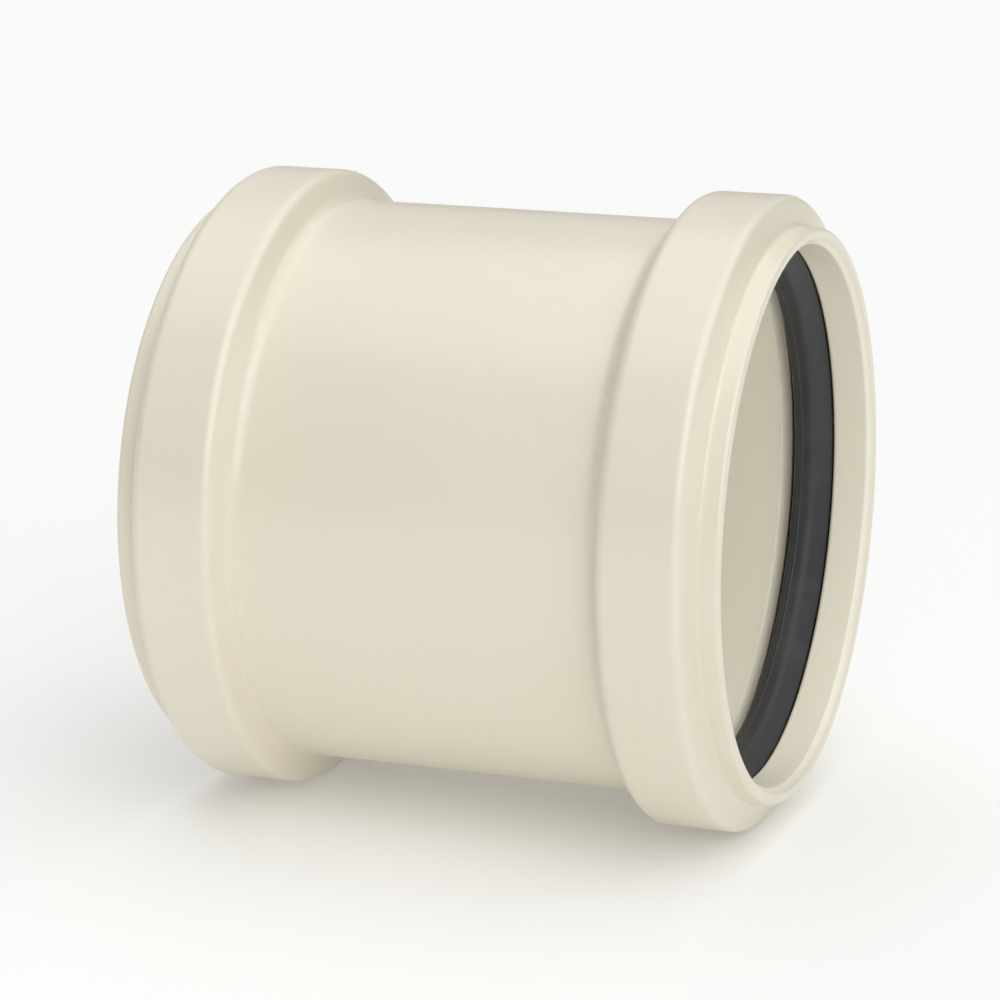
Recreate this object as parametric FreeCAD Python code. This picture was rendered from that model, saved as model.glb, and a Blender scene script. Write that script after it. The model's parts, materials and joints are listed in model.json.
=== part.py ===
import FreeCAD, Part
import math
import os

# Push fit coupling for drain pipe: a socket at each end of a short barrel, each with a rubber ring in
# a groove. Millimetres. The coupling lies along X, +Z is up, and the origin is at its centre.

# Pipe and socket
PIPE_RADIUS = 50.8            # outside radius of the drain pipe that goes in
SOCKET_CLEARANCE = 0.3        # radial gap between the pipe and the socket wall
SOCKET_RADIUS = PIPE_RADIUS + SOCKET_CLEARANCE

# Outside of one end, from the middle outwards
HALF_LENGTH = 58.0            # centre to rim
BARREL_RADIUS = 54.3
BELL_RADIUS = 60.0            # ring housing
COLLAR_RADIUS = 54.2          # narrower lip in front of the ring housing
SHOULDER_START = 34.7         # barrel meets the slanted rear shoulder
BELL_START = 37.4
BELL_END = 52.2
COLLAR_START = 53.9
SHOULDER_FILLET = 3.2
BELL_REAR_ROUNDING = 2.2
BELL_FRONT_ROUNDING = 2.0
COLLAR_FILLET = 1.0
RIM_ROUNDING = 0.8

# Inside of one end
LEAD_IN_DEPTH = 1.4           # sloped entry at the mouth, along the axis
LEAD_IN_RISE = 1.2
LEAD_IN_ROUNDING = 0.7
GROOVE_START = 41.0           # inner side of the ring groove
GROOVE_END = 49.8             # mouth side of the ring groove
GROOVE_RADIUS = 56.7
GROOVE_FLOOR_FILLET = 1.2
GROOVE_MOUTH_ROUNDING = 0.7
GROOVE_SLOPE_LENGTH = 1.9     # sloped edge between the socket wall and the groove, along the axis
GROOVE_SLOPE_RISE = 1.3
STOP_HALF_WIDTH = 1.9         # pipe stop, at its foot
STOP_TOP_HALF_WIDTH = 1.3
STOP_HEIGHT = 2.3
STOP_FILLET = 0.5
STOP_ROUNDING = 0.4

# Sealing ring, in the shape that it takes round a pipe
SEAL_START = 41.3
SEAL_END = 49.6
SEAL_OUTER_GAP = 0.1
SEAL_PIPE_GAP = 0.1
SEAL_FOOT_ROUNDING = 0.9
SEAL_LIP_START = 42.2         # the lip narrows towards the pipe
SEAL_LIP_END = 49.0
SEAL_LIP_ROUNDING = 1.2

AXIS_POINT = FreeCAD.Vector(0, 0, 0)
AXIS = FreeCAD.Vector(1, 0, 0)


def place(corner):
    """The point of the section plane at a distance along the axis and a radius."""
    return FreeCAD.Vector(corner[0], 0, corner[1])


def rounded_corner(before, corner, after, radius):
    """Start, middle and end of the arc that rounds a corner."""
    point = place(corner)
    way_in = (place(before) - point).normalize()
    way_out = (place(after) - point).normalize()
    half_angle = way_in.getAngle(way_out) / 2
    setback = radius / math.tan(half_angle)
    bisector = (way_in + way_out).normalize()
    middle = point + bisector * (radius / math.sin(half_angle) - radius)
    return point + way_in * setback, middle, point + way_out * setback


def section(corners):
    """A closed outline through (axial position, radius, rounding) corners, as a face."""
    count = len(corners)
    bends = []
    for index, corner in enumerate(corners):
        before = corners[index - 1]
        after = corners[(index + 1) % count]
        bends.append(rounded_corner(before, corner, after, corner[2]) if corner[2] else [place(corner)])
    edges = []
    for index, bend in enumerate(bends):
        if len(bend) > 1:
            edges.append(Part.Arc(*bend).toShape())
        start = bend[-1]
        end = bends[(index + 1) % count][0]
        edges.append(Part.makeLine(start, end))
    return Part.Face(Part.Wire(edges))


def turned(corners):
    """The solid that an outline sweeps in one turn about the coupling's axis."""
    return section(corners).revolve(AXIS_POINT, AXIS, 360)


def mirrored(corners):
    """The same corners on the other side of the middle plane, in the opposite order."""
    return [(-along, radius, rounding) for along, radius, rounding in reversed(corners)]


def coupling_body():
    outside = [
        (SHOULDER_START, BARREL_RADIUS, SHOULDER_FILLET),
        (BELL_START, BELL_RADIUS, BELL_REAR_ROUNDING),
        (BELL_END, BELL_RADIUS, BELL_FRONT_ROUNDING),
        (COLLAR_START, COLLAR_RADIUS, COLLAR_FILLET),
        (HALF_LENGTH, COLLAR_RADIUS, RIM_ROUNDING),
    ]
    inside = [
        (HALF_LENGTH, SOCKET_RADIUS + LEAD_IN_RISE, LEAD_IN_ROUNDING),
        (HALF_LENGTH - LEAD_IN_DEPTH, SOCKET_RADIUS, LEAD_IN_ROUNDING),
        (GROOVE_END, SOCKET_RADIUS, GROOVE_MOUTH_ROUNDING),
        (GROOVE_END, GROOVE_RADIUS, GROOVE_FLOOR_FILLET),
        (GROOVE_START, GROOVE_RADIUS, GROOVE_FLOOR_FILLET),
        (GROOVE_START, SOCKET_RADIUS + GROOVE_SLOPE_RISE, 0),
        (GROOVE_START - GROOVE_SLOPE_LENGTH, SOCKET_RADIUS, 0),
        (STOP_HALF_WIDTH, SOCKET_RADIUS, STOP_FILLET),
        (STOP_TOP_HALF_WIDTH, SOCKET_RADIUS - STOP_HEIGHT, STOP_ROUNDING),
    ]
    half = outside + inside
    return turned(half + mirrored(half))


def seal_ring(side):
    """The ring in the right end for side 1, or in the left end for side -1."""
    outer = GROOVE_RADIUS - SEAL_OUTER_GAP
    inner = PIPE_RADIUS + SEAL_PIPE_GAP
    corners = [
        (SEAL_START, outer, SEAL_FOOT_ROUNDING),
        (SEAL_END, outer, SEAL_FOOT_ROUNDING),
        (SEAL_LIP_END, inner, SEAL_LIP_ROUNDING),
        (SEAL_LIP_START, inner, SEAL_LIP_ROUNDING),
    ]
    return turned(corners if side > 0 else mirrored(corners))


os.makedirs("parts", exist_ok=True)
nodes = {
    "coupling_body": coupling_body(),
    "seal_ring_left": seal_ring(-1),
    "seal_ring_right": seal_ring(1),
}
for name, shape in nodes.items():
    shape.exportStep(f"parts/{name}.step")
    print(name, round(shape.Volume, 1), shape.isValid(), len(shape.Solids))
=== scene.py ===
import json
import math
import bpy
import bmesh
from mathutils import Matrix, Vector


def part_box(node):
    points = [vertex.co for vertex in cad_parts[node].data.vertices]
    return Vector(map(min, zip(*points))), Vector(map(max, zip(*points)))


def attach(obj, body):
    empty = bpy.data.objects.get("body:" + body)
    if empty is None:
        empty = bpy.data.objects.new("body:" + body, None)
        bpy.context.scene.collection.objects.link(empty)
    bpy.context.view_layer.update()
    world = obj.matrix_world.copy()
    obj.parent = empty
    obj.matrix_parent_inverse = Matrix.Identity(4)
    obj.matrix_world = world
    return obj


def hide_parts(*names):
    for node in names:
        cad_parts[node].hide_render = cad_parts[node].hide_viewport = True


# A push fit drain coupling on a pale studio floor. Everything is in metres, in the frame of the packed
# model: the coupling lies along X, and +Z is up.

MM = 0.001
TURN = 2 * math.pi

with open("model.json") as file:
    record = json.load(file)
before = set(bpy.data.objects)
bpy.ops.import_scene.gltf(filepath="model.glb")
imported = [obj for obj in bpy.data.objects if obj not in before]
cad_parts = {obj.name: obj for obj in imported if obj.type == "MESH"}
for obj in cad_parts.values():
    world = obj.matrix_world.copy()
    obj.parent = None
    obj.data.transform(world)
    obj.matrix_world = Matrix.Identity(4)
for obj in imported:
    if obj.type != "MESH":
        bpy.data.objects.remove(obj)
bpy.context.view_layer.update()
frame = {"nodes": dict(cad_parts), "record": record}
sockets = {mount["name"]: mount for mount in frame["record"]["mounts"]}

# ---------------------------------------------------------------- sizes

body_low, body_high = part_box("coupling_body")
seal_low, seal_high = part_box("seal_ring_right")
HALF_LENGTH = body_high.x
BELL_RADIUS = body_high.z
SOCKET_RADIUS = sockets["right_socket"]["dims"]["r_mm"] * MM

BARREL_RADIUS = BELL_RADIUS - 5.7 * MM
COLLAR_RADIUS = BELL_RADIUS - 5.8 * MM
SHOULDER_START = HALF_LENGTH - 23.3 * MM
BELL_START = HALF_LENGTH - 20.6 * MM
BELL_END = HALF_LENGTH - 5.8 * MM
COLLAR_START = HALF_LENGTH - 4.1 * MM
LEAD_IN_DEPTH = 1.4 * MM
LEAD_IN_RISE = 1.2 * MM
GROOVE_START = HALF_LENGTH - 17.0 * MM
GROOVE_END = HALF_LENGTH - 8.2 * MM
GROOVE_RADIUS = BELL_RADIUS - 3.3 * MM
GROOVE_SLOPE_LENGTH = 1.9 * MM
GROOVE_SLOPE_RISE = 1.3 * MM
STOP_HALF_WIDTH = 1.9 * MM
STOP_TOP_HALF_WIDTH = 1.3 * MM
STOP_HEIGHT = 2.3 * MM

SHOULDER_FILLET = 3.2 * MM
BELL_REAR_ROUNDING = 2.2 * MM
BELL_FRONT_ROUNDING = 2.0 * MM
COLLAR_FILLET = 1.0 * MM
RIM_ROUNDING = 0.8 * MM
LEAD_IN_ROUNDING = 0.7 * MM
GROOVE_MOUTH_ROUNDING = 0.7 * MM
GROOVE_FLOOR_FILLET = 1.2 * MM
GROOVE_SLOPE_TOP_ROUNDING = 0.3 * MM
GROOVE_SLOPE_FOOT_ROUNDING = 0.8 * MM
STOP_FILLET = 0.5 * MM
STOP_ROUNDING = 0.4 * MM

# The moulding isn't quite round. Its skin is set in a little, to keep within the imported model's box.
SKIN_INSET = 0.04 * MM
OVAL = 0.025 * MM
OVAL_PHASE = 0.6
SINK = 0.01 * MM
SINK_LOBES = 3
SINK_PITCH = 9 * MM

# The ring as it sits with no pipe in it: a foot in the groove, and a lip. From the mouth inwards, the lip
# has a front that slopes in to the crest, a thin line of flash round the crest, and a back. Each rise is
# how much further out its corner lies than the crest's back.
SEAL_START = seal_low.x
SEAL_END = seal_high.x
SEAL_FOOT_RADIUS = seal_high.z
SEAL_FOOT_ROUNDING = 0.9 * MM
LIP_FRONT_RADIUS = SOCKET_RADIUS + 0.5 * MM
LIP_FRONT_ROUNDING = 0.5 * MM
CREST_RADIUS = SOCKET_RADIUS - 2.8 * MM
CREST_FRONT = SEAL_END - 3.2 * MM
CREST_FRONT_RISE = 0.1 * MM
CREST_FRONT_ROUNDING = 2.4 * MM
CREST_BACK = SEAL_START + 1.1 * MM
CREST_BACK_ROUNDING = 1.0 * MM
LIP_BACK = SEAL_START + 0.1 * MM
LIP_BACK_RADIUS = SOCKET_RADIUS + 1.1 * MM
LIP_BACK_ROUNDING = 0.7 * MM
FLASH_PLACE = SEAL_START + 2.6 * MM
FLASH_HALF_WIDTH = 0.22 * MM
FLASH_HEIGHT = 0.09 * MM
FLASH_ROUNDING = 0.07 * MM
FLASH_FOOT_ROUNDING = 0.12 * MM
FLASH_FRONT_RISE = 0.03 * MM
FLASH_BACK_RISE = 0.02 * MM

# The lip is soft, so its edge waves a little. The wave fades out towards the foot.
WAVE = 0.10 * MM
WAVE_COUNT = 3
SECOND_WAVE_COUNT = 7
SECOND_WAVE_SHARE = 0.6
WAVE_START_RADIUS = SOCKET_RADIUS + 1.0 * MM
WAVE_FADE = 3.8 * MM

# Marks that the mould leaves: a fine ridge along each side, where its halves met, and the stub of the gate,
# where the plastic went in.
PARTING_ANGLES = (math.radians(75), math.radians(255))
PARTING_WIDTH = 0.45 * MM
PARTING_HEIGHT = 0.07 * MM
GATE_ANGLE = math.radians(350)
GATE_RADIUS = 2.0 * MM
GATE_HEIGHT = 0.60 * MM
GATE_EDGE = 0.5 * MM          # width over which the stub rises
GATE_UNEVENNESS = 0.15        # share of the height
GATE_RIPPLE_ALONG = 0.7 * MM
GATE_RIPPLE_ACROSS = 0.5 * MM
GATE_RIPPLE_PHASE = 1.0

# Mesh spacing
ROUND_STEPS = 7               # rows in each rounded corner
SUPPORT = 0.18 * MM           # distance of the row that keeps a flat face flat beside a rounded corner
LONGEST_ROW = 3.2 * MM
SEGMENTS = 240
CLOSEST_ANGLE = TURN / SEGMENTS / 4
RIDGE_COLUMNS = 8             # columns across a parting ridge
RIDGE_STEP = PARTING_WIDTH / BARREL_RADIUS / RIDGE_COLUMNS
RIDGE_REACH = RIDGE_COLUMNS // 2 + 1
GATE_ROW = 0.3 * MM
GATE_REACH = math.ceil(GATE_RADIUS / GATE_ROW) + 1


# ---------------------------------------------------------------- outlines

def rounded(before, corner, after, radius):
    """Points of the arc that rounds a corner."""
    point = Vector(corner)
    way_in = (Vector(before) - point).normalized()
    way_out = (Vector(after) - point).normalized()
    half_angle = way_in.angle(way_out) / 2
    setback = radius / math.tan(half_angle)
    centre = point + (way_in + way_out).normalized() * (radius / math.sin(half_angle))
    start = point + way_in * setback - centre
    end = point + way_out * setback - centre
    sweep = start.angle(end)
    points = []
    for step in range(ROUND_STEPS + 1):
        share = step / ROUND_STEPS
        arm = start * math.sin((1 - share) * sweep) + end * math.sin(share * sweep)
        points.append(centre + arm / math.sin(sweep))
    return points


def straight(start, end):
    """Points between two arcs: a support row near each end and even rows between."""
    run = end - start
    length = run.length
    if length < 3 * SUPPORT:
        return []
    rows = max(1, math.ceil((length - 2 * SUPPORT) / LONGEST_ROW))
    first = SUPPORT / length
    return [start + run * (first + (1 - 2 * first) * row / rows) for row in range(rows + 1)]


def outline(corners):
    """A closed, rounded outline through (along, radius, rounding) corners, as (along, radius, bend) rows.
    bend is 1 on an outward rounding, -1 on an inward one and 0 on a flat face."""
    count = len(corners)
    area = sum(corners[i - 1][0] * corners[i][1] - corners[i][0] * corners[i - 1][1] for i in range(count))
    arcs = []
    bends = []
    for index, (along, radius, rounding) in enumerate(corners):
        before = Vector(corners[index - 1][:2])
        after = Vector(corners[(index + 1) % count][:2])
        here = Vector((along, radius))
        arcs.append(rounded(before, here, after, rounding))
        turn = (here - before).cross(after - here)
        bends.append(math.copysign(1, turn * area))
    rows = []
    for index, arc in enumerate(arcs):
        for step, point in enumerate(arc):
            share = 1 - abs(2 * step / ROUND_STEPS - 1)
            rows.append((point.x, point.y, bends[index] * share))
        for point in straight(arc[-1], arcs[(index + 1) % count][0]):
            rows.append((point.x, point.y, 0.0))
    return rows


def mirrored(corners):
    """The same corners at the other end, in the opposite order."""
    return [(-along, radius, rounding) for along, radius, rounding in reversed(corners)]


# ---------------------------------------------------------------- meshes

def smooth_step(value):
    """0 below 0, 1 above 1 and an S curve between."""
    held = min(1.0, max(0.0, value))
    return held * held * (3 - 2 * held)


def even_angles():
    """Angles in even steps round the axis."""
    return [TURN * step / SEGMENTS for step in range(SEGMENTS)]


def with_closer(angles, extra):
    """The angles in order, with the extra ones in place of any that they nearly meet."""
    kept = [angle for angle in angles if min(abs(angle - other) for other in extra) > CLOSEST_ANGLE]
    return sorted(kept + extra)


def turned_piece(name, rows, angles, lift):
    """A solid of revolution about X. lift(along, radius, angle) moves the surface in or out a little."""
    mesh = bmesh.new()
    bend_layer = mesh.verts.layers.float.new("bend")
    rings = []
    for angle in angles:
        ring = []
        for along, radius, bend in rows:
            reach = radius + lift(along, radius, angle)
            vertex = mesh.verts.new((along, reach * math.cos(angle), reach * math.sin(angle)))
            vertex[bend_layer] = bend
            ring.append(vertex)
        rings.append(ring)
    for index, ring in enumerate(rings):
        following = rings[(index + 1) % len(rings)]
        for row in range(len(ring)):
            past = (row + 1) % len(ring)
            mesh.faces.new((ring[row], ring[past], following[past], following[row]))
    bmesh.ops.recalc_face_normals(mesh, faces=mesh.faces)
    data = bpy.data.meshes.new(name)
    mesh.to_mesh(data)
    mesh.free()
    data.shade_smooth()
    piece = bpy.data.objects.new(name, data)
    bpy.context.scene.collection.objects.link(piece)
    return piece


def on_outside(along, radius):
    """Whether a point of the coupling's skin is on its outside, not on its bore or in a groove."""
    at_groove = GROOVE_START - SUPPORT < abs(along) < GROOVE_END + SUPPORT
    inner, outer = (GROOVE_RADIUS, BELL_RADIUS) if at_groove else (SOCKET_RADIUS, BARREL_RADIUS)
    return radius > (inner + outer) / 2


def parting_ridge(angle):
    """How far the ridge where the mould's halves met stands up."""
    off = min(abs(angle - line) for line in PARTING_ANGLES) * BARREL_RADIUS / PARTING_WIDTH
    return PARTING_HEIGHT * math.cos(math.pi * off) ** 2 if off < 0.5 else 0.0


def gate_mark(along, angle):
    """How far the stub of the gate stands up. Its top is uneven, because it was broken off."""
    across = (angle - GATE_ANGLE) * BARREL_RADIUS
    off = math.hypot(along, across)
    ripple = math.sin(along / GATE_RIPPLE_ALONG + GATE_RIPPLE_PHASE) * math.cos(across / GATE_RIPPLE_ACROSS)
    uneven = 1 - GATE_UNEVENNESS + GATE_UNEVENNESS * ripple
    return GATE_HEIGHT * uneven * smooth_step((GATE_RADIUS - off) / GATE_EDGE)


def shell_angles():
    """Even angles, with closer ones over each parting ridge and across the gate."""
    ridge_steps = range(-RIDGE_REACH, RIDGE_REACH + 1)
    ridges = [line + step * RIDGE_STEP for line in PARTING_ANGLES for step in ridge_steps]
    gate_steps = range(-GATE_REACH, GATE_REACH + 1)
    gate = [GATE_ANGLE + step * GATE_ROW / BARREL_RADIUS for step in gate_steps]
    return with_closer(even_angles(), ridges + gate)


def with_gate_rows(rows):
    """The outline's rows, with close ones in place of those that cross the gate."""
    def crosses(row):
        return abs(row[0]) < (GATE_REACH + 1) * GATE_ROW and on_outside(row[0], row[1])

    place = next((index for index, row in enumerate(rows) if crosses(row)), len(rows))
    kept = [row for row in rows if not crosses(row)]
    close = [(step * GATE_ROW, BARREL_RADIUS, 0.0) for step in range(-GATE_REACH, GATE_REACH + 1)]
    return kept[:place] + close + kept[place:]


def coupling_shell():
    """The moulding: its outside from the barrel to the rim, then its inside from the rim to the stop."""
    outside = [
        (SHOULDER_START, BARREL_RADIUS, SHOULDER_FILLET),
        (BELL_START, BELL_RADIUS, BELL_REAR_ROUNDING),
        (BELL_END, BELL_RADIUS, BELL_FRONT_ROUNDING),
        (COLLAR_START, COLLAR_RADIUS, COLLAR_FILLET),
        (HALF_LENGTH, COLLAR_RADIUS, RIM_ROUNDING),
    ]
    inside = [
        (HALF_LENGTH, SOCKET_RADIUS + LEAD_IN_RISE, LEAD_IN_ROUNDING),
        (HALF_LENGTH - LEAD_IN_DEPTH, SOCKET_RADIUS, LEAD_IN_ROUNDING),
        (GROOVE_END, SOCKET_RADIUS, GROOVE_MOUTH_ROUNDING),
        (GROOVE_END, GROOVE_RADIUS, GROOVE_FLOOR_FILLET),
        (GROOVE_START, GROOVE_RADIUS, GROOVE_FLOOR_FILLET),
        (GROOVE_START, SOCKET_RADIUS + GROOVE_SLOPE_RISE, GROOVE_SLOPE_TOP_ROUNDING),
        (GROOVE_START - GROOVE_SLOPE_LENGTH, SOCKET_RADIUS, GROOVE_SLOPE_FOOT_ROUNDING),
        (STOP_HALF_WIDTH, SOCKET_RADIUS, STOP_FILLET),
        (STOP_TOP_HALF_WIDTH, SOCKET_RADIUS - STOP_HEIGHT, STOP_ROUNDING),
    ]
    half = outside + inside

    def lift(along, radius, angle):
        oval = OVAL * math.cos(2 * angle + OVAL_PHASE)
        sink = SINK * math.cos(SINK_LOBES * angle + along / SINK_PITCH)
        marks = parting_ridge(angle) + gate_mark(along, angle) if on_outside(along, radius) else 0.0
        return oval - sink - SKIN_INSET + marks

    rows = with_gate_rows(outline(half + mirrored(half)))
    return turned_piece("coupling_shell", rows, shell_angles(), lift)


def lip_seal(name, side):
    """The rubber ring in the right end for side 1, or in the left end for side -1."""
    corners = [
        (SEAL_START, SEAL_FOOT_RADIUS, SEAL_FOOT_ROUNDING),
        (SEAL_END, SEAL_FOOT_RADIUS, SEAL_FOOT_ROUNDING),
        (SEAL_END, LIP_FRONT_RADIUS, LIP_FRONT_ROUNDING),
        (CREST_FRONT, CREST_RADIUS + CREST_FRONT_RISE, CREST_FRONT_ROUNDING),
        (FLASH_PLACE + FLASH_HALF_WIDTH, CREST_RADIUS + FLASH_FRONT_RISE, FLASH_FOOT_ROUNDING),
        (FLASH_PLACE, CREST_RADIUS - FLASH_HEIGHT, FLASH_ROUNDING),
        (FLASH_PLACE - FLASH_HALF_WIDTH, CREST_RADIUS + FLASH_BACK_RISE, FLASH_FOOT_ROUNDING),
        (CREST_BACK, CREST_RADIUS, CREST_BACK_ROUNDING),
        (LIP_BACK, LIP_BACK_RADIUS, LIP_BACK_ROUNDING),
    ]

    def lift(along, radius, angle):
        free = max(0.0, (WAVE_START_RADIUS - radius) / WAVE_FADE)
        second = math.sin(SECOND_WAVE_COUNT * angle + 2 * side)
        wave = math.sin(WAVE_COUNT * angle + side) + SECOND_WAVE_SHARE * second
        return WAVE * wave * free

    return turned_piece(name, outline(corners if side > 0 else mirrored(corners)), even_angles(), lift)


# ---------------------------------------------------------------- materials

# A Mix node has sockets named A, B and Result for each type of value. These are the ones for colours.
MIX_FIRST = 6
MIX_SECOND = 7
MIX_RESULT = 2

# A dot fades out between these multiples of its radius.
DOT_INSIDE = 0.7
DOT_OUTSIDE = 1.3


class Nodes:
    """Builds one material's node tree, a node to a line."""

    def __init__(self, name):
        self.material = bpy.data.materials.new(name)
        self.material.use_nodes = True
        self.tree = self.material.node_tree
        self.tree.nodes.clear()
        self.shader = self.tree.nodes.new("ShaderNodeBsdfPrincipled")
        output = self.tree.nodes.new("ShaderNodeOutputMaterial")
        self.link(self.shader.outputs["BSDF"], output.inputs["Surface"])
        self.place = self.tree.nodes.new("ShaderNodeTexCoord").outputs["Object"]

    def link(self, source, target):
        self.tree.links.new(source, target)

    def noise(self, size, detail=3.0, roughness=0.5, stretch=None):
        """Noise from 0 to 1, whose features are about size metres across. stretch scales each axis."""
        node = self.tree.nodes.new("ShaderNodeTexNoise")
        node.inputs["Scale"].default_value = 1 / size
        node.inputs["Detail"].default_value = detail
        node.inputs["Roughness"].default_value = roughness
        if stretch:
            mapping = self.tree.nodes.new("ShaderNodeMapping")
            mapping.inputs["Scale"].default_value = stretch
            self.link(self.place, mapping.inputs["Vector"])
            self.link(mapping.outputs["Vector"], node.inputs["Vector"])
        else:
            self.link(self.place, node.inputs["Vector"])
        return node.outputs["Fac"]

    def dots(self, spacing, radius, share):
        """Round dots in a share of the cells about spacing wide: 1 on a dot and 0 elsewhere."""
        node = self.tree.nodes.new("ShaderNodeTexVoronoi")
        node.inputs["Scale"].default_value = 1 / spacing
        self.link(self.place, node.inputs["Vector"])
        outside = DOT_OUTSIDE * radius / spacing
        inside = DOT_INSIDE * radius / spacing
        spot = self.fit(node.outputs["Distance"], outside, inside)
        draw = self.tree.nodes.new("ShaderNodeSeparateColor")
        self.link(node.outputs["Color"], draw.inputs["Color"])
        return self.maths("MULTIPLY", spot, self.maths("LESS_THAN", draw.outputs["Red"], share))

    def attribute(self, name):
        """A value that the mesh carries at its vertices."""
        node = self.tree.nodes.new("ShaderNodeAttribute")
        node.attribute_name = name
        return node.outputs["Fac"]

    def from_axis(self):
        """Distance from the coupling's axis, in metres."""
        across = self.tree.nodes.new("ShaderNodeVectorMath")
        across.operation = "MULTIPLY"
        across.inputs[1].default_value = (0.0, 1.0, 1.0)
        self.link(self.place, across.inputs[0])
        length = self.tree.nodes.new("ShaderNodeVectorMath")
        length.operation = "LENGTH"
        self.link(across.outputs["Vector"], length.inputs[0])
        return length.outputs["Value"]

    def fit(self, value, low, high, to_low=0.0, to_high=1.0):
        """Maps low..high to to_low..to_high, and holds it there beyond."""
        node = self.tree.nodes.new("ShaderNodeMapRange")
        node.interpolation_type = "SMOOTHSTEP"
        self.link(value, node.inputs["Value"])
        node.inputs["From Min"].default_value = low
        node.inputs["From Max"].default_value = high
        node.inputs["To Min"].default_value = to_low
        node.inputs["To Max"].default_value = to_high
        return node.outputs["Result"]

    def maths(self, operation, first, second):
        """A sum, product or comparison of two values, each a number or a socket."""
        node = self.tree.nodes.new("ShaderNodeMath")
        node.operation = operation
        for value, socket in ((first, node.inputs[0]), (second, node.inputs[1])):
            if isinstance(value, (int, float)):
                socket.default_value = value
            else:
                self.link(value, socket)
        return node.outputs["Value"]

    def mix(self, share, first, second):
        """The first colour at share 0 and the second at share 1, each a colour or a socket."""
        node = self.tree.nodes.new("ShaderNodeMix")
        node.data_type = "RGBA"
        self.link(share, node.inputs["Factor"])
        for value, socket in ((first, node.inputs[MIX_FIRST]), (second, node.inputs[MIX_SECOND])):
            if isinstance(value, tuple):
                socket.default_value = (*value, 1.0)
            else:
                self.link(value, socket)
        return node.outputs[MIX_RESULT]

    def bump(self, height, depth, under=None):
        """Bumps of depth metres from a 0 to 1 height, over another bump's normal if there is one."""
        node = self.tree.nodes.new("ShaderNodeBump")
        node.inputs["Distance"].default_value = depth
        self.link(height, node.inputs["Height"])
        if under is not None:
            self.link(under, node.inputs["Normal"])
        return node.outputs["Normal"]


CREAM = (0.815, 0.761, 0.619)
CREAM_PALE = (0.839, 0.788, 0.655)
CREAM_DEEP = (0.790, 0.731, 0.584)
CREAM_BORE_PAINTED_LIGHT = (0.915, 0.876, 0.742)      # paler cream in the bore: painted light, standing in for more light inside it
BORE_PAINTED_LIGHT_SHARE = 0.95
BORE_EDGE = SOCKET_RADIUS + 1.1 * MM    # the paler colour starts within this radius
BORE_FULL = SOCKET_RADIUS + 0.3 * MM    # and is complete within this one
GRIME_AND_SHADE = (0.42, 0.38, 0.29)
SPECK_STRENGTH = 0.30
PVC_ROUGHNESS = (0.285, 0.345)          # from least to most handled
HAIRLINE_ROUGHNESS = 0.08
WORN_ROUGHNESS = 0.15
PVC_IOR = 1.53
PVC_SPECULAR = 1.0


def cream_pvc():
    """Moulded plastic: colour drift, specks, worn outer edges, dust and painted shade in corners, painted
    light in the bore.
    """
    nodes = Nodes("cream_pvc")
    bend = nodes.attribute("bend")
    drift = nodes.noise(size=38 * MM, detail=3.0, stretch=(0.5, 1.0, 1.0))
    mottle = nodes.noise(size=3.5 * MM, detail=4.0, roughness=0.6)
    handled = nodes.noise(size=22 * MM, detail=3.0)
    hairline = nodes.noise(size=0.22 * MM, detail=2.0, stretch=(0.035, 1.0, 1.0))
    turned = nodes.noise(size=0.30 * MM, detail=2.0, stretch=(1.0, 0.01, 0.01))

    colour = nodes.mix(nodes.fit(drift, 0.3, 0.7), CREAM_DEEP, CREAM_PALE)
    colour = nodes.mix(nodes.fit(mottle, 0.25, 0.75, to_low=0.35, to_high=0.85), colour, CREAM)
    # Painted light: the bore is given a paler cream, standing in for light that reaches inside it.
    bore = nodes.fit(nodes.from_axis(), BORE_EDGE, BORE_FULL, to_high=BORE_PAINTED_LIGHT_SHARE)
    colour = nodes.mix(bore, colour, CREAM_BORE_PAINTED_LIGHT)
    specks = nodes.dots(spacing=5 * MM, radius=0.16 * MM, share=0.4)
    colour = nodes.mix(nodes.maths("MULTIPLY", specks, SPECK_STRENGTH), colour, GRIME_AND_SHADE)
    outward = nodes.fit(bend, 0.3, 1.0)
    worn = nodes.maths("MULTIPLY", outward, nodes.fit(mottle, 0.35, 0.65, to_low=0.15, to_high=0.5))
    colour = nodes.mix(worn, colour, CREAM_PALE)
    # Partly dust, partly painted shade: inward corners are darkened towards the grime colour.
    inward = nodes.fit(bend, -0.2, -1.0)
    corner_dust_and_shade = nodes.maths("MULTIPLY", inward, nodes.fit(mottle, 0.3, 0.7, to_low=0.02, to_high=0.14))
    colour = nodes.mix(corner_dust_and_shade, colour, GRIME_AND_SHADE)
    nodes.link(colour, nodes.shader.inputs["Base Color"])

    least, most = PVC_ROUGHNESS
    roughness = nodes.fit(handled, 0.3, 0.7, to_low=least, to_high=most)
    scratch = nodes.maths("MULTIPLY", nodes.fit(hairline, 0.55, 0.80), nodes.fit(handled, 0.35, 0.75))
    roughness = nodes.maths("ADD", roughness, nodes.maths("MULTIPLY", scratch, HAIRLINE_ROUGHNESS))
    roughness = nodes.maths("ADD", roughness, nodes.maths("MULTIPLY", worn, WORN_ROUGHNESS))
    nodes.link(roughness, nodes.shader.inputs["Roughness"])

    normal = nodes.bump(nodes.noise(size=7 * MM, detail=2.0), depth=0.012 * MM)
    normal = nodes.bump(nodes.noise(size=0.9 * MM, detail=3.0), depth=0.0022 * MM, under=normal)
    normal = nodes.bump(turned, depth=0.0006 * MM, under=normal)
    nodes.link(normal, nodes.shader.inputs["Normal"])
    nodes.shader.inputs["IOR"].default_value = PVC_IOR
    nodes.shader.inputs["Specular IOR Level"].default_value = PVC_SPECULAR
    return nodes.material


RUBBER = (0.033, 0.034, 0.038)
RUBBER_BLOOM = (0.063, 0.065, 0.071)
DUST = (0.30, 0.28, 0.23)
DUST_STRENGTH = 0.35
RUBBER_ROUGHNESS = (0.42, 0.58)
RUBBER_IOR = 1.50


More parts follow.
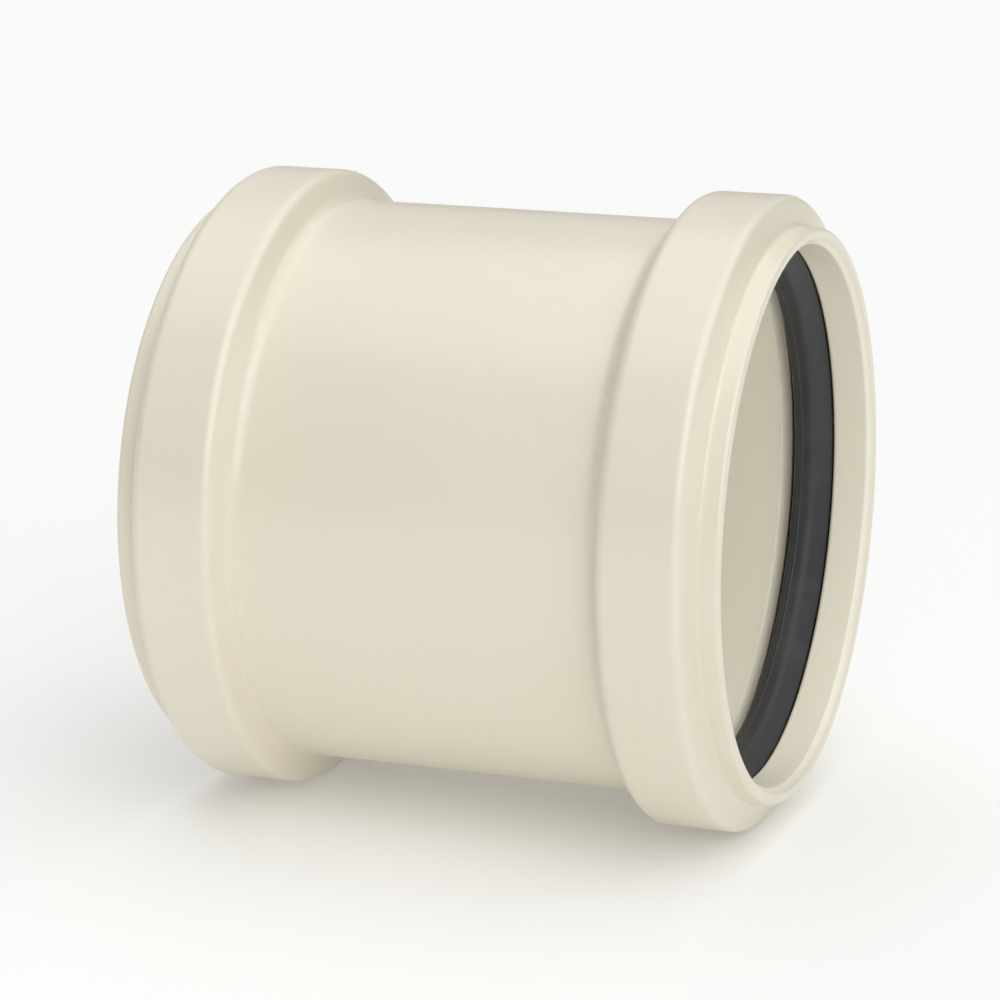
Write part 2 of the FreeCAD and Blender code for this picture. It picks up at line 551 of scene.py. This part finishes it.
def seal_rubber():
    """Matte rubber with a cloudy bloom, a fine grain, lines round the ring and a few specks of dust."""
    nodes = Nodes("seal_rubber")
    cloud = nodes.noise(size=8 * MM, detail=4.0, roughness=0.6)
    grain = nodes.noise(size=0.35 * MM, detail=3.0, roughness=0.6)
    drawn = nodes.noise(size=0.40 * MM, detail=2.0, stretch=(1.0, 0.02, 0.02))
    colour = nodes.mix(nodes.fit(cloud, 0.45, 0.75, to_high=0.5), RUBBER, RUBBER_BLOOM)
    specks = nodes.dots(spacing=2.4 * MM, radius=0.09 * MM, share=0.35)
    colour = nodes.mix(nodes.maths("MULTIPLY", specks, DUST_STRENGTH), colour, DUST)
    nodes.link(colour, nodes.shader.inputs["Base Color"])
    least, most = RUBBER_ROUGHNESS
    nodes.link(nodes.fit(cloud, 0.3, 0.7, to_low=least, to_high=most), nodes.shader.inputs["Roughness"])
    normal = nodes.bump(grain, depth=0.006 * MM)
    normal = nodes.bump(drawn, depth=0.0020 * MM, under=normal)
    nodes.link(normal, nodes.shader.inputs["Normal"])
    nodes.shader.inputs["IOR"].default_value = RUBBER_IOR
    return nodes.material


FLOOR_HALF_WIDTH = 6.0
FLOOR_CELLS = 8
FLOOR_CLOUD = 0.6
FLOOR_DARKER = (0.84, 0.84, 0.84)
FLOOR_LIGHTER = (0.865, 0.865, 0.865)
FLOOR_ROUGHNESS = 0.8
FLOOR_GLOW = (1.0, 0.99, 0.97, 1.0)
FLOOR_GLOW_STRENGTH = 0.16


def studio_floor():
    """A plain pale floor with a faint cloud in its colour."""
    nodes = Nodes("studio_floor")
    cloud = nodes.noise(size=FLOOR_CLOUD, detail=2.0)
    colour = nodes.mix(cloud, FLOOR_DARKER, FLOOR_LIGHTER)
    nodes.link(colour, nodes.shader.inputs["Base Color"])
    nodes.shader.inputs["Roughness"].default_value = FLOOR_ROUGHNESS
    nodes.shader.inputs["Emission Color"].default_value = FLOOR_GLOW
    nodes.shader.inputs["Emission Strength"].default_value = FLOOR_GLOW_STRENGTH
    return nodes.material


# ---------------------------------------------------------------- pieces

def add_piece(piece, material, node):
    """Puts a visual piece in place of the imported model's node."""
    piece.data.materials.append(material)
    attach(piece, "root")
    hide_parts(node)


cream = cream_pvc()
rubber = seal_rubber()
for name, node in frame["nodes"].items():
    node.data.materials.clear()
    node.data.materials.append(cream if name == "coupling_body" else rubber)

add_piece(coupling_shell(), cream, "coupling_body")
add_piece(lip_seal("lip_seal_right", 1), rubber, "seal_ring_right")
add_piece(lip_seal("lip_seal_left", -1), rubber, "seal_ring_left")


# ---------------------------------------------------------------- studio

def studio():
    """The floor that the coupling lies on."""
    floor_data = bpy.data.meshes.new("floor")
    mesh = bmesh.new()
    bmesh.ops.create_grid(mesh, x_segments=FLOOR_CELLS, y_segments=FLOOR_CELLS, size=FLOOR_HALF_WIDTH)
    bmesh.ops.translate(mesh, verts=mesh.verts, vec=(0, 0, body_low.z))
    mesh.to_mesh(floor_data)
    mesh.free()
    floor = bpy.data.objects.new("floor", floor_data)
    bpy.context.scene.collection.objects.link(floor)
    floor_data.materials.append(studio_floor())


def world_light(strength, backdrop):
    """Even light from all round, which shows as a backdrop of its own brightness."""
    world = bpy.data.worlds.new("studio")
    world.use_nodes = True
    tree = world.node_tree
    background = tree.nodes["Background"]
    background.inputs["Color"].default_value = (1.0, 1.0, 1.0, 1.0)
    seen = tree.nodes.new("ShaderNodeLightPath")
    level = tree.nodes.new("ShaderNodeMapRange")
    level.inputs["To Min"].default_value = strength
    level.inputs["To Max"].default_value = backdrop
    tree.links.new(seen.outputs["Is Camera Ray"], level.inputs["Value"])
    tree.links.new(level.outputs["Result"], background.inputs["Strength"])
    bpy.context.scene.world = world


# The view is the photograph's. The azimuth is measured from -Y towards +X.
CAMERA_AZIMUTH = math.radians(20.2)
CAMERA_ELEVATION = math.radians(13.7)
CAMERA_DISTANCE = 12.227 * BELL_RADIUS
CAMERA_AIM_RIGHT = -0.0384 * BELL_RADIUS
CAMERA_AIM_UP = -0.0259 * BELL_RADIUS
LENS_MM = 137.3
SENSOR_MM = 36.0
VIEW_END = 50.0


def camera():
    """The camera, which looks at a point beside the coupling's centre."""
    away = Vector((
        math.sin(CAMERA_AZIMUTH) * math.cos(CAMERA_ELEVATION),
        -math.cos(CAMERA_AZIMUTH) * math.cos(CAMERA_ELEVATION),
        math.sin(CAMERA_ELEVATION),
    ))
    right = Vector((math.cos(CAMERA_AZIMUTH), math.sin(CAMERA_AZIMUTH), 0))
    up = away.cross(right)
    aim = right * CAMERA_AIM_RIGHT + up * CAMERA_AIM_UP
    data = bpy.data.cameras.new("camera")
    data.sensor_width = SENSOR_MM
    data.lens = LENS_MM
    data.clip_end = VIEW_END
    seat = bpy.data.objects.new("camera", data)
    seat.location = aim + away * CAMERA_DISTANCE
    seat.rotation_euler = (-away).to_track_quat("-Z", "Y").to_euler()
    bpy.context.scene.collection.objects.link(seat)
    bpy.context.scene.camera = seat


def soft_sun(name, direction, strength, spread):
    """Soft light from one direction, as from a wide distant window. spread is the angle that it fills."""
    data = bpy.data.lights.new(name, "SUN")
    data.energy = strength
    data.angle = math.radians(spread)
    lamp = bpy.data.objects.new(name, data)
    lamp.rotation_euler = (-Vector(direction)).to_track_quat("-Z", "Y").to_euler()
    bpy.context.scene.collection.objects.link(lamp)


WORLD_STRENGTH = 0.22
BACKDROP_STRENGTH = 0.93

# Name, direction towards the light, strength, and the angle that it fills in degrees
LIGHTS = (
    ("key", (1.0, -1.0, 0.65), 0.52, 45),
    ("front", (0.40, -1.0, 0.85), 0.63, 60),
    ("top", (0.18, 0.10, 1.0), 1.60, 85),
    ("back", (-0.8, 0.8, 0.6), 0.25, 60),
)

studio()
world_light(WORLD_STRENGTH, BACKDROP_STRENGTH)
for light in LIGHTS:
    soft_sun(*light)
camera()
bpy.context.scene.view_settings.view_transform = "Standard"
